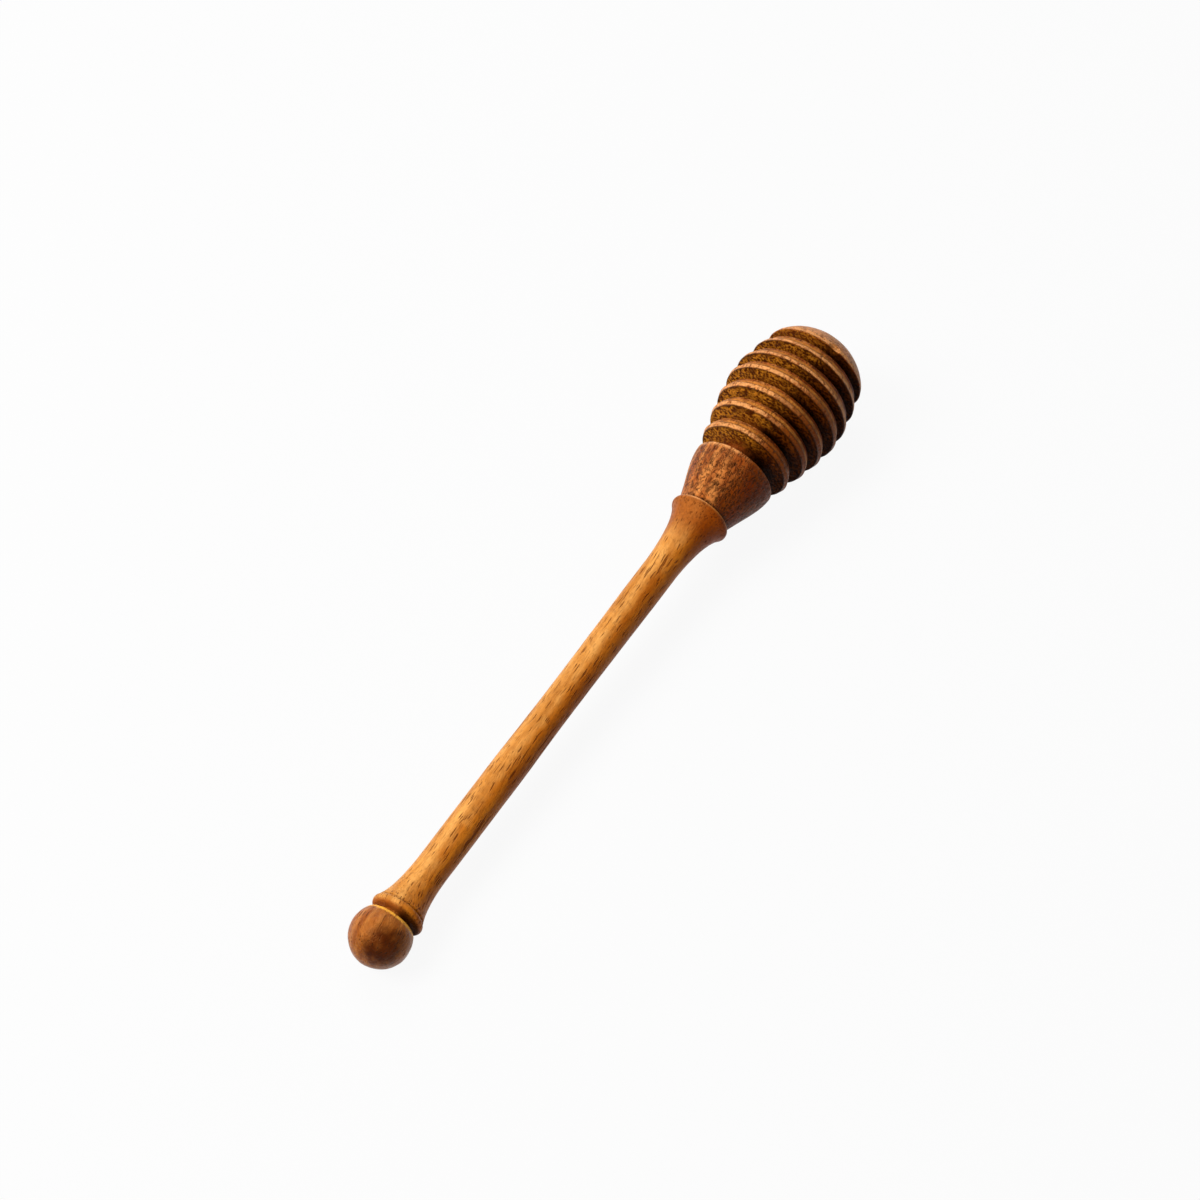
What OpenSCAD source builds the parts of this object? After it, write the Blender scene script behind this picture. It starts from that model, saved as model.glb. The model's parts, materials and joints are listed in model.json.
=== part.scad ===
// Turned wooden honey dipper, lying on a table.
// Three turned pieces are glued end to end: a ball knob, a slender handle and a grooved head.
// Every piece is drawn on its own turning axis, and stations along that axis are
// measured from the centre of the ball. The whole dipper is then laid down on Z = 0.

/* [Ball knob] */
// Diameter of the ball at the end of the handle
knob_d = 13.2; // [12:0.1:15]
// Distance from the ball's centre to the flat seat turned on it
knob_seat = 3.6; // [3:0.1:4.2]

/* [Groove between ball and handle] */
// Diameter of the neck that shows in the groove
neck_d = 6.4; // [5.6:0.1:7]
// Width of the groove, from the ball's seat to the handle's end collar
neck_w = 1.3; // [1:0.1:2]

/* [Handle] */
// Length of the handle between its two shoulders, neck and tenons left out
handle_len = 115.2; // [100:0.2:130]
// Diameter of the handle where fingers hold it
grip_d = 7.4; // [7:0.05:8]
// Length of the straight stretch of the grip
grip_len = 23; // [15:1:28]
// Diameter of the handle at its thinnest
waist_d = 6.95; // [6:0.05:7]
// Distance from the end collar to the thinnest place
waist_at = 61; // [58:1:75]
// Diameter of the collar next to the ball
end_collar_d = 11.8; // [10.8:0.1:12.4]
// Width of the collar next to the ball
end_collar_w = 2.2; // [1.6:0.1:2.6]
// Depth of the fine line cut behind the end collar
collar_line = 0.2; // [0.1:0.05:0.4]
// Length of the taper from the end collar into the grip
grip_taper = 12.5; // [8:0.5:14]
// Diameter of the collar that carries the head
neck_collar_d = 13.5; // [12.8:0.1:14.2]
// Width of the rounded edge of that collar
neck_collar_w = 1.7; // [1.2:0.1:2.4]
// Length of the flare from the handle into that collar
flare_len = 15.5; // [12:0.5:20]

/* [Glued joints] */
// Diameter of the tenon in the head
head_tenon_d = 6; // [5:0.1:6.6]
// Length of the tenon in the head
head_tenon_len = 10; // [7:0.5:10.5]
// Diameter of the tenon in the ball
knob_tenon_d = 4; // [3.2:0.1:4.8]
// Length of the tenon in the ball
knob_tenon_len = 6; // [4:0.5:6.5]
// Radial room for glue around a tenon
glue_gap = 0.05; // [0.02:0.01:0.1]
// Room for glue past the end of a tenon
glue_pocket = 0.6; // [0.3:0.1:1]

/* [Head] */
// Diameter of the head at its belly
belly_d = 27.4; // [26:0.1:30]
// Distance from the cup's rim to the belly
belly_at = 20.5; // [19:0.5:22]
// Drop of the outline per mm of length towards the cup
cup_side_taper = 0.275; // [0.24:0.005:0.3]
// Drop of the outline per mm of length towards the tip
tip_side_taper = 0.275; // [0.25:0.005:0.32]
// Height of the round blend between the two tapers
belly_blend = 1.5; // [1:0.1:2]
// Diameter of the cup where it seats on the handle's collar
cup_base_d = 11.5; // [11:0.1:12.4]
// Length of the cup from its seat to its rim
cup_len = 13; // [12:0.1:15]
// Radius of the rounded lip of the cup
cup_lip_r = 9; // [7:0.5:10]

/* [Rings and grooves] */
// Number of thin rings between the cup and the end cap
ring_count = 6; // [5:1:7]
// Width of the first groove, from the cup's rim to the first ring
first_groove_w = 3.6; // [3:0.1:4]
// Distance from one ring to the next
ring_pitch = 4.75; // [4.5:0.05:5]
// Width of a ring's crest
ring_w = 1.2; // [1:0.05:1.3]
// Width of the lower band behind the crest, on the side of the tip
ring_back_w = 1; // [0.8:0.1:1.1]
// Step from the crest down to the lower band
ring_step = 0.2; // [0.1:0.05:0.3]
// Drop of the lower band below the outline at its far edge
ring_back_drop = 0.5; // [0.4:0.05:0.6]
// Added thickness of a ring at its root, on the side of the tip
ring_root = 0.3; // [0.2:0.05:0.4]
// Depth of each groove below the outline
groove_depth = 5.2; // [4:0.1:5.6]
// Radius of a ring's worn edges
rim_r = 0.3; // [0.2:0.05:0.4]
// Length of the end cap, from its face in the last groove to the tip
cap_len = 7.3; // [6.6:0.1:7.8]
// Radius of the round end of the head
dome_r = 13.5; // [13.2:0.1:16]

/* [Hidden] */
$fn = 96;

// Segments in each curve of an outline
CURVE_STEPS = 14;
// Segments in each worn edge
EDGE_STEPS = 4;
// Length by which a cut runs past the face that it opens
OVERCUT = 1;
// Angles at which the round edge of the end collar starts and ends
END_BEAD_FROM = -90;
END_BEAD_TO = 60;
// Angles at which the round edge of the neck collar starts and ends
NECK_BEAD_FROM = -30;
NECK_BEAD_TO = 90;
// Segments in each of these two round edges
BEAD_STEPS = 10;
// Share of the step from the grip to the end collar at which the taper starts
COLLAR_ROOT_SHARE = 0.75;
// Height of the taper's steering point over the grip
TAPER_HOLLOW = 0.4;
// Shares of the taper's length at which its two steering points stand
TAPER_NEAR = 0.25;
TAPER_FAR = 0.58;
// Share of a slow swell that stays close to the radius it comes from
SWELL_PULL = 0.4;
// Swelling of the handle where the flare sets in, and the share of the flare before that place
FLARE_RISE = 0.2;
FLARE_ONSET = 0.1;
// Share of the flare over which the handle stays slender
FLARE_SLENDER = 0.55;
// Steering point of the flare below the neck collar: how far in, and how far back
FLARE_IN = 1.5;
FLARE_BACK = 2.1;
// Steering point in the middle of the cup: share of its step outwards, and of its length
CUP_OUT = 0.5;
CUP_ALONG = 0.45;
// Steering point below the cup's lip: how far in, and how far back as a share of the lip's radius
LIP_IN = 0.1;
LIP_BACK = 0.42;

// Radii
knob_r = knob_d / 2;
neck_r = neck_d / 2;
grip_r = grip_d / 2;
waist_r = waist_d / 2;
belly_r = belly_d / 2;
cup_base_r = cup_base_d / 2;
end_collar_r = end_collar_d / 2;
neck_collar_r = neck_collar_d / 2;
head_tenon_r = head_tenon_d / 2;
knob_tenon_r = knob_tenon_d / 2;

// Stations along the turning axis, from the centre of the ball
collar_at = knob_seat + neck_w;
collar_end = collar_at + end_collar_w;
grip_at = collar_end + grip_taper;
grip_end = grip_at + grip_len;
waist_station = collar_at + waist_at;
shoulder = collar_at + handle_len;
flare_at = shoulder - neck_collar_w - flare_len;
cup_rim = shoulder + cup_len;
belly_station = cup_rim + belly_at;
first_ring = cup_rim + first_groove_w;
cap_at = first_ring + ring_count * ring_pitch;
tip = cap_at + cap_len;

// Radius where the end collar meets the taper into the grip
collar_root_r = grip_r + COLLAR_ROOT_SHARE * (end_collar_r - grip_r);
// Radius of the flare where it meets the rounded edge of the neck collar
flare_end_r = neck_collar_r - neck_collar_w / 4;

// Point at share t of a cubic curve through p[0] and p[3]
function curve_point(p, t) =
    pow(1 - t, 3) * p[0] + 3 * pow(1 - t, 2) * t * p[1]
    + 3 * (1 - t) * t * t * p[2] + pow(t, 3) * p[3];

// Points of a cubic curve, its first point left out
function curve(p, steps = CURVE_STEPS) =
    [for (i = [1 : steps]) curve_point(p, i / steps)];

// Points of an arc about c with radius r, from angle a to angle b
function arc(c, r, a, b, steps = EDGE_STEPS) =
    [for (i = [0 : steps]) c + r * [cos(a + (b - a) * i / steps), sin(a + (b - a) * i / steps)]];

// Radius of the head's outline at a station: two tapers that blend at the belly
function outline_r(s) =
    let (taper = s < belly_station ? cup_side_taper : tip_side_taper,
         run = s - belly_station)
    belly_r + belly_blend - sqrt(pow(belly_blend, 2) + pow(taper * run, 2));

// Station of the handle's face of ring k
function ring_at(k) = first_ring + k * ring_pitch;

// Outline of a slow swell from point a to point b, which leaves both along the axis
function swell(a, b) =
    let (pull = (b[1] - a[1]) * SWELL_PULL)
    curve([a, [a[0], a[1] + pull], [b[0], b[1] - pull], b]);

// Outline of one ring: up its flat face, over the crest and the lower band, down to the next groove
function ring_outline(k) =
    let (face = ring_at(k),
         crest = face + ring_w,
         back = crest + ring_back_w,
         face_r = outline_r(face),
         back_r = outline_r(back) - ring_back_drop,
         root = back + ring_root)
    concat([[face_r - groove_depth, face]],
           arc([face_r - rim_r, face + rim_r], rim_r, -90, 0),
           [[outline_r(crest), crest],
            [outline_r(crest) - ring_step, crest + ring_step / 2]],
           arc([back_r - rim_r, back - rim_r], rim_r, 0, 90),
           [[outline_r(root) - groove_depth, root]]);

// Outline of the handle: tenon, neck, end collar, taper, grip, waist, flare, neck collar, tenon
grip_start = [grip_r, grip_at];
grip_finish = [grip_r, grip_end];
waist = [waist_r, waist_station];
flare_start = [waist_r + FLARE_RISE, flare_at + flare_len * FLARE_ONSET];
flare_end = [flare_end_r, shoulder - neck_collar_w];
handle_profile = concat(
    [[0, knob_seat - knob_tenon_len],
     [knob_tenon_r, knob_seat - knob_tenon_len],
     [knob_tenon_r, knob_seat],
     [neck_r, knob_seat],
     [neck_r, collar_at]],
    arc([end_collar_r - end_collar_w / 2, collar_at + end_collar_w / 2],
        end_collar_w / 2, END_BEAD_FROM, END_BEAD_TO, BEAD_STEPS),
    [[collar_root_r - collar_line, collar_end]],
    curve([[collar_root_r, collar_end + collar_line],
           [grip_r + TAPER_HOLLOW, collar_end + grip_taper * TAPER_NEAR],
           [grip_r, collar_end + grip_taper * TAPER_FAR],
           grip_start]),
    [grip_finish],
    swell(grip_finish, waist),
    swell(waist, flare_start),
    curve([flare_start,
           [waist_r + 2 * FLARE_RISE, flare_at + flare_len * FLARE_SLENDER],
           flare_end - [FLARE_IN, FLARE_BACK],
           flare_end]),
    arc([neck_collar_r - neck_collar_w / 2, shoulder - neck_collar_w / 2],
        neck_collar_w / 2, NECK_BEAD_FROM, NECK_BEAD_TO, BEAD_STEPS),
    [[head_tenon_r, shoulder],
     [head_tenon_r, shoulder + head_tenon_len],
     [0, shoulder + head_tenon_len]]);

// Outline of the cup: a cone from its seat, a rounded lip and down into the first groove
cup_rim_r = outline_r(cup_rim);
cup_profile = concat(
    [[cup_base_r, shoulder]],
    curve([[cup_base_r, shoulder],
           [cup_base_r + (cup_rim_r - cup_base_r) * CUP_OUT, shoulder + cup_len * CUP_ALONG],
           [cup_rim_r - LIP_IN, cup_rim - cup_lip_r * LIP_BACK],
           [cup_rim_r, cup_rim - rim_r]]),
    arc([cup_rim_r - rim_r, cup_rim - rim_r], rim_r, 0, 90),
    [[cup_rim_r - groove_depth, cup_rim + ring_root]]);

// Outline of the end cap: a flat face, a rounded edge and a round end
cap_r = outline_r(cap_at);
dome_centre = tip - dome_r;
dome_angle = asin((cap_at + ring_w - dome_centre) / dome_r);
cap_profile = concat(
    [[cap_r - groove_depth, cap_at]],
    arc([cap_r - rim_r, cap_at + rim_r], rim_r, -90, 0),
    arc([0, dome_centre], dome_r, dome_angle, 90, CURVE_STEPS));

// Angle at which the dipper lies: the table touches the ball and the crest of one ring
ring_crests = [for (k = [0 : ring_count - 1], s = [ring_at(k) + rim_r, ring_at(k) + ring_w])
    [s, s < ring_at(k) + ring_w ? outline_r(s - rim_r) : outline_r(s)]];
lie_angle = max([for (p = ring_crests) atan2(p[1], p[0]) - asin(knob_r / norm(p))]);
// Distance from the ball's centre to the middle of the dipper as it lies, along the table
middle = (dome_centre * cos(lie_angle) + dome_r - knob_r) / 2;

// Turns an outline of [radius, station] points about the X axis
module turned(outline) {
    rotate([0, 90, 0])
        rotate_extrude()
            polygon(outline);
}

// A round hole along the turning axis, from station a to station b
module bore(r, a, b) {
    translate([a, 0, 0])
        rotate([0, 90, 0])
            cylinder(r = r, h = b - a);
}

// Lays a piece down on the table, with the middle of the dipper over the origin
module laid() {
    translate([-middle, 0, knob_r])
        rotate([0, -lie_angle, 0])
            children();
}

module ball_knob() {
    color("saddlebrown")
        laid()
            difference() {
                rotate([0, 90, 0])
                    sphere(r = knob_r);
                bore(knob_r + OVERCUT, knob_seat, knob_r + OVERCUT);
                bore(knob_tenon_r + glue_gap,
                     knob_seat - knob_tenon_len - glue_pocket,
                     knob_seat + OVERCUT);
            }
}

module handle() {
    color("peru")
        laid()
            turned(handle_profile);
}

module dipper_head() {
    color("sienna")
        laid()
            difference() {
                turned(concat(
                    [[0, shoulder]],
                    cup_profile,
                    [for (k = [0 : ring_count - 1]) each ring_outline(k)],
                    cap_profile));
                bore(head_tenon_r + glue_gap, shoulder - OVERCUT,
                     shoulder + head_tenon_len + glue_pocket);
            }
}

dipper_head();
handle();
ball_knob();
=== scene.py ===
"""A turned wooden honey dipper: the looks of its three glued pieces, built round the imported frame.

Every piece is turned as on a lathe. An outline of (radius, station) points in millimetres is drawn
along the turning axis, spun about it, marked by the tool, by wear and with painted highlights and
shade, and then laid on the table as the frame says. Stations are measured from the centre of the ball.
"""

import json
import logging
import math
from dataclasses import dataclass, field
from enum import Enum
from typing import Any, Sequence

import bpy
import numpy as np
from mathutils import Matrix, Vector

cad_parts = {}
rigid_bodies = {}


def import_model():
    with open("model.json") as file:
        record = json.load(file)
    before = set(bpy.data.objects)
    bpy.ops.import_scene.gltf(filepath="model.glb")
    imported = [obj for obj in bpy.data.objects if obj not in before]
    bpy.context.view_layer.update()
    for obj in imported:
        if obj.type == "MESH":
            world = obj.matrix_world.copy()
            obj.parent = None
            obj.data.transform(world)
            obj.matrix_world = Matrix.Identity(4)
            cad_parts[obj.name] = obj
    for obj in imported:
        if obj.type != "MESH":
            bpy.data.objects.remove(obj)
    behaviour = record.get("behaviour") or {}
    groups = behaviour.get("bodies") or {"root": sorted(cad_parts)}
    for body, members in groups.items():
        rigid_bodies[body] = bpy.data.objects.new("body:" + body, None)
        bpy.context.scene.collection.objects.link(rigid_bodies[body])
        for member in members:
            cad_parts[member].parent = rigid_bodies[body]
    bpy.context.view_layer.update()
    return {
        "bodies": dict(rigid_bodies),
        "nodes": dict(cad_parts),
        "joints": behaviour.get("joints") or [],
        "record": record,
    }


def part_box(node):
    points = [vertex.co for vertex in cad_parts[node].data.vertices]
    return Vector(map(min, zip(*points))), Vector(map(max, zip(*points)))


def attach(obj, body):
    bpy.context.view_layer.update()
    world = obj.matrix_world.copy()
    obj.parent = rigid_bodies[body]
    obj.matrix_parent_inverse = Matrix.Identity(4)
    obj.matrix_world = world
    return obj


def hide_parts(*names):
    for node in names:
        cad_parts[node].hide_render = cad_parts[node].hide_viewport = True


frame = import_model()

log = logging.getLogger("honey_dipper")

Point = tuple[float, float]
MM = 0.001


class Mark(Enum):
    """The marks that a piece's mesh carries for its finish, painted highlights and shade among them, each from 0
    to 1.
    """

    END_GRAIN = "end_grain"
    # Painted shade in grooves and recesses, darker towards their floor
    SHADED_RECESS = "shaded_recess"
    # Painted highlight on worn edges and crests that catch the key light
    EDGE = "edge"
    BAND = "band"
    LINE = "line"
    STAIN = "stain"
    # Where the painted shade on the side turned from the key light is left off
    UNSHADED = "unshaded"


@dataclass(frozen=True)
class Lie:
    """How the turning axis lies on the table.

    Args:
        ball_centre: Centre of the ball in metres.
        angle: Rise of the axis towards the head, in radians.
    """

    ball_centre: Vector
    angle: float

    @classmethod
    def from_frame(cls, packed: dict[str, Any]) -> "Lie":
        """Reads the ball's place from its node and the axis from the grip mount.


        Returns:
            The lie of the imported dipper.
        """
        low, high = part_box("ball_knob")
        radius = (high.y - low.y) / 2
        grip = next(m for m in packed["record"]["mounts"] if m["name"] == "grip")
        return cls(Vector((low.x + radius, 0.0, low.z + radius)), math.atan2(grip["axis"][2], grip["axis"][0]))

    def matrix(self) -> Matrix:
        """Matrix that takes a point on the lathe's own axis, in metres, to its place on the table."""
        return Matrix.Translation(self.ball_centre) @ Matrix.Rotation(-self.angle, 4, "Y")

    def grain_offset(self) -> Vector:
        """Offset that centres a pattern in mm on the ball, once it is turned along the axis."""
        return Matrix.Rotation(self.angle, 3, "Y") @ self.ball_centre / -MM


def linear(code: str) -> tuple[float, float, float, float]:
    """Turns an sRGB hex colour into the linear colour that a shader takes.

    Args:
        code: Colour such as "#a0642c".

    Returns:
        Red, green, blue and alpha.
    """
    shares = [int(code[i:i + 2], 16) / 255 for i in (1, 3, 5)]
    return (*(c / 12.92 if c <= 0.04045 else ((c + 0.055) / 1.055) ** 2.4 for c in shares), 1.0)


def add_node(
    tree: bpy.types.NodeTree,
    kind: str,
    props: dict[str, Any] | None = None,
    inputs: dict[str | int, Any] | None = None,
) -> bpy.types.Node:
    """Adds one node with its settings and links.

    Args:
        tree: Node tree that gets the node.
        kind: The node's type.
        props: Settings of the node itself, by name.
        inputs: Sockets by name or number. An output socket is linked, anything else is a value.

    Returns:
        The new node.
    """
    node = tree.nodes.new(kind)
    for key, value in (props or {}).items():
        setattr(node, key, value)
    for key, value in (inputs or {}).items():
        if isinstance(value, bpy.types.NodeSocket):
            tree.links.new(value, node.inputs[key])
        else:
            node.inputs[key].default_value = value
    return node


@dataclass(frozen=True)
class Wood:
    """Turned, oiled hardwood with open pores.

    The fibres run nearly along the turning axis. The same pores are long dashes on a side and dots
    where a cut crosses the fibres, and oil makes such end grain dark. All lengths are in mm.
    """

    name: str
    light: str
    dark: str
    warm: str
    pore: str
    end_light: str
    end_dark: str
    # Pale colour of worn edges and crests as painted highlight, and its copy in painted shade, which the tool
    # bands also take
    edge: str
    edge_and_band_in_shade: str
    band: str
    line: str
    stain: str
    pore_len: float = 2.0
    pore_w: float = 0.26
    pore_share: float = 0.4
    pore_depth: float = 0.8
    hair_depth: float = 0.4
    crack_len: float = 12.0
    crack_w: float = 0.3
    crack_share: float = 0.12
    crack_depth: float = 0.7
    wrinkle_len: float = 1.5
    wrinkle_w: float = 0.55
    wrinkle_depth: float = 0.2
    ring_gap: float = 2.6
    pith: tuple[float, float, float] = (0.0, 15.0, -9.0)
    slope: tuple[float, float] = (0.03, -0.05)
    # Painted shade on the side turned away from the key light: share of red, green and blue that it keeps,
    # the side it lies on, and the share of that direction at which it sets in and is full
    painted_shade: tuple[float, float, float] = (0.7, 0.55, 0.35)
    painted_shade_side: tuple[float, float, float] = (0.0, -0.98, 0.17)
    painted_shade_border: tuple[float, float] = (0.1, 0.8)
    seed: float = 0.0
    roughness: float = 0.45
    specular: float = 0.22
    # Oiled fibres shine in the wood's own colour, seen straight on
    sheen: str = "#f4a45c"
    relief: float = 0.12
    tool_gap: float = 0.45

    def build(self, lie: Lie) -> bpy.types.Material:
        """Makes the material.

        Args:
            lie: How the turning axis lies, so that the fibres follow it.

        Returns:
            The finished material.
        """
        material = bpy.data.materials.new(self.name)
        material.use_nodes = True
        tree = material.node_tree
        tree.nodes.clear()
        place = self._place(tree, lie)
        fibre = self._fibre(tree, place)
        dashes = self._pores(tree, fibre, self.pore_w, self.pore_len, self.pore_share)
        cracks = self._pores(tree, fibre, self.crack_w, self.crack_len, self.crack_share)
        pores = add_node(tree, "ShaderNodeMath", {"operation": "MAXIMUM"},
                         {0: dashes, 1: self._share(tree, cracks, self.crack_depth)}).outputs[0]
        hair = self._pores(tree, fibre, self.pore_w * 0.6, self.pore_len * 0.5, 0.5)
        wrinkles = self._wrinkles(tree, fibre)
        figure = self._figure(tree, place, fibre)
        colour = self._colour(tree, place, figure, pores, hair, wrinkles)
        rough = add_node(tree, "ShaderNodeMath", {"operation": "MULTIPLY_ADD"},
                         {0: pores, 1: 0.3, 2: self.roughness})
        matt = add_node(tree, "ShaderNodeMath", {"operation": "MAXIMUM"},
                        {0: self._mark(tree, Mark.END_GRAIN), 1: self._mark(tree, Mark.SHADED_RECESS)})
        gloss = add_node(tree, "ShaderNodeMapRange", {},
                         {"Value": matt.outputs[0], "To Min": self.specular, "To Max": self.specular * 0.05})
        shader = add_node(tree, "ShaderNodeBsdfPrincipled", {},
                          {"Base Color": colour, "Roughness": rough.outputs[0], "IOR": 1.5,
                           "Specular IOR Level": gloss.outputs[0], "Specular Tint": linear(self.sheen),
                           "Normal": self._bump(tree, place, fibre, pores, hair, wrinkles)})
        add_node(tree, "ShaderNodeOutputMaterial", {}, {"Surface": shader.outputs[0]})
        return material

    def _place(self, tree: bpy.types.NodeTree, lie: Lie) -> bpy.types.NodeSocket:
        """Point on the lathe in mm, with the turning axis along X."""
        where = add_node(tree, "ShaderNodeTexCoord")
        turned = add_node(tree, "ShaderNodeMapping", {},
                          {"Vector": where.outputs["Object"], "Scale": (1 / MM,) * 3,
                           "Rotation": (0.0, lie.angle, 0.0), "Location": lie.grain_offset()})
        return turned.outputs[0]

    def _fibre(self, tree: bpy.types.NodeTree, place: bpy.types.NodeSocket) -> bpy.types.NodeSocket:
        """The same point along the fibres, which slope to the axis and wander by about 1 mm over 30 mm."""
        sloped = add_node(tree, "ShaderNodeMapping", {},
                          {"Vector": place, "Rotation": (0.0, *self.slope)})
        wander = add_node(tree, "ShaderNodeTexNoise", {},
                          {"Vector": place, "Scale": 0.035, "Detail": 1.0})
        aside = add_node(tree, "ShaderNodeVectorMath", {"operation": "MULTIPLY_ADD"},
                         {0: wander.outputs["Color"], 1: (0.0, 3.0, 3.0),
                          2: (self.seed * 17.0, self.seed * 5.0, 0.0)})
        fine = add_node(tree, "ShaderNodeTexNoise", {}, {"Vector": place, "Scale": 0.3, "Detail": 1.0})
        both = add_node(tree, "ShaderNodeVectorMath", {"operation": "MULTIPLY_ADD"},
                        {0: fine.outputs["Color"], 1: (0.0, 0.7, 0.7), 2: aside.outputs[0]})
        moved = add_node(tree, "ShaderNodeVectorMath", {"operation": "ADD"},
                         {0: sloped.outputs[0], 1: both.outputs[0]})
        return moved.outputs[0]

    def _pores(self, tree: bpy.types.NodeTree, fibre: bpy.types.NodeSocket,
               width: float, length: float, share: float) -> bpy.types.NodeSocket:
        """Mask of the pores: 1 inside one, and 0 in the wood between.

        Args:
            tree: Node tree of the material.
            fibre: Point on the sloping fibres, in mm.
            width: Width of a pore.
            length: Length of a pore.
            share: Share of the places for a pore that hold one.

        Returns:
            The mask's socket.
        """
        room = 1.45
        cells = add_node(tree, "ShaderNodeVectorMath", {"operation": "MULTIPLY"},
                         {0: fibre, 1: (1 / (length * room), 1 / (width * room), 1 / (width * room))})
        cell = add_node(tree, "ShaderNodeTexVoronoi", {}, {"Vector": cells.outputs[0], "Scale": 1.0})
        inside = add_node(tree, "ShaderNodeMapRange", {"interpolation_type": "SMOOTHSTEP"},
                          {"Value": cell.outputs["Distance"], "From Min": 0.24, "From Max": 0.42,
                           "To Min": 1.0, "To Max": 0.0})
        chance = add_node(tree, "ShaderNodeSeparateColor", {}, {0: cell.outputs["Color"]})
        chosen = add_node(tree, "ShaderNodeMapRange", {},
                          {"Value": chance.outputs[0], "From Min": 1 - share,
                           "From Max": 1 - share * 0.5})
        both = add_node(tree, "ShaderNodeMath", {"operation": "MULTIPLY", "use_clamp": True},
                        {0: inside.outputs[0], 1: chosen.outputs[0]})
        return both.outputs[0]

    def _wrinkles(self, tree: bpy.types.NodeTree, fibre: bpy.types.NodeSocket) -> bpy.types.NodeSocket:
        """Mask of short, winding wrinkles, where the cutting edge lifted the fibres."""
        long = add_node(tree, "ShaderNodeVectorMath", {"operation": "MULTIPLY"},
                        {0: fibre, 1: (1 / self.wrinkle_len, 1 / self.wrinkle_w, 1 / self.wrinkle_w)})
        wave = add_node(tree, "ShaderNodeTexNoise", {},
                        {"Vector": long.outputs[0], "Scale": 1.0, "Detail": 2.0, "Distortion": 0.9})
        off = add_node(tree, "ShaderNodeMath", {"operation": "SUBTRACT"}, {0: wave.outputs["Fac"], 1: 0.5})
        size = add_node(tree, "ShaderNodeMath", {"operation": "ABSOLUTE"}, {0: off.outputs[0]})
        ridge = add_node(tree, "ShaderNodeMapRange", {"interpolation_type": "SMOOTHSTEP"},
                         {"Value": size.outputs[0], "From Min": 0.01, "From Max": 0.09,
                          "To Min": 1.0, "To Max": 0.0})
        broken = add_node(tree, "ShaderNodeTexNoise", {}, {"Vector": fibre, "Scale": 0.8, "Detail": 1.0})
        there = add_node(tree, "ShaderNodeMapRange", {},
                         {"Value": broken.outputs["Fac"], "From Min": 0.3, "From Max": 0.48})
        both = add_node(tree, "ShaderNodeMath", {"operation": "MULTIPLY"},
                        {0: ridge.outputs[0], 1: there.outputs[0]})
        return both.outputs[0]

    def _figure(self, tree: bpy.types.NodeTree, place: bpy.types.NodeSocket,
                fibre: bpy.types.NodeSocket) -> bpy.types.NodeSocket:
        """Lighter and darker growth: rings about a far pith, broken up by streaks along the fibres."""
        across = add_node(tree, "ShaderNodeVectorMath", {"operation": "MULTIPLY_ADD"},
                          {0: fibre, 1: (0.0, 1.0, 1.0), 2: self.pith})
        reach = add_node(tree, "ShaderNodeVectorMath", {"operation": "LENGTH"}, {0: across.outputs[0]})
        turns = add_node(tree, "ShaderNodeMath", {"operation": "MULTIPLY"},
                         {0: reach.outputs["Value"], 1: 2 * math.pi / self.ring_gap})
        wave = add_node(tree, "ShaderNodeMath", {"operation": "SINE"}, {0: turns.outputs[0]})
        long = add_node(tree, "ShaderNodeVectorMath", {"operation": "MULTIPLY"},
                        {0: fibre, 1: (0.06, 1.0, 1.0)})
        streak = add_node(tree, "ShaderNodeTexNoise", {},
                          {"Vector": long.outputs[0], "Scale": 0.9, "Detail": 4.0, "Roughness": 0.6})
        cloud = add_node(tree, "ShaderNodeTexNoise", {},
                         {"Vector": place, "Scale": 0.11, "Detail": 3.0, "Roughness": 0.55})
        sum_1 = add_node(tree, "ShaderNodeMath", {"operation": "MULTIPLY_ADD"},
                         {0: wave.outputs[0], 1: 0.12, 2: streak.outputs["Fac"]})
        sum_2 = add_node(tree, "ShaderNodeMath", {"operation": "MULTIPLY_ADD"},
                         {0: cloud.outputs["Fac"], 1: 0.8, 2: sum_1.outputs[0]})
        share = add_node(tree, "ShaderNodeMapRange", {},
                         {"Value": sum_2.outputs[0], "From Min": 0.68, "From Max": 1.12})
        return share.outputs[0]

    def _colour(self, tree: bpy.types.NodeTree, place: bpy.types.NodeSocket,
                figure: bpy.types.NodeSocket, pores: bpy.types.NodeSocket,
                hair: bpy.types.NodeSocket, wrinkles: bpy.types.NodeSocket) -> bpy.types.NodeSocket:
        """Colour of the wood with its pores, end grain, tool bands and dark lines, painted shade on one side and
        in recesses, and painted highlights on worn edges.
        """
        marks = {mark: self._mark(tree, mark) for mark in Mark}
        warmth = self._patches(tree, place, 0.22, 0.45, 0.7)
        wear = self._patches(tree, place, 1.3, 0.36, 0.52)
        speck = self._patches(tree, place, 1.5, 0.44, 0.56)
        blotch = self._patches(tree, place, 0.42, 0.5, 0.62)
        stain = self._over(tree, self._share(tree, speck, 0.3), linear(self.stain), linear(self.pore))
        layers: list[tuple[Any, Any]] = [
            (figure, linear(self.light)),
            (self._share(tree, warmth, 0.6), linear(self.warm)),
            (self._share(tree, marks[Mark.STAIN], 0.9), stain),
            (self._share(tree, wrinkles, self.wrinkle_depth), linear(self.pore)),
            (self._share(tree, hair, self.hair_depth), linear(self.pore)),
            (self._share(tree, pores, self.pore_depth), linear(self.pore)),
        ]
        colour: Any = linear(self.dark)
        for amount, over in layers:
            colour = self._over(tree, amount, colour, over)
        end = self._over(tree, speck, linear(self.end_dark), linear(self.end_light))
        end = self._over(tree, self._share(tree, blotch, 0.7), end, linear(self.end_dark))
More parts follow.
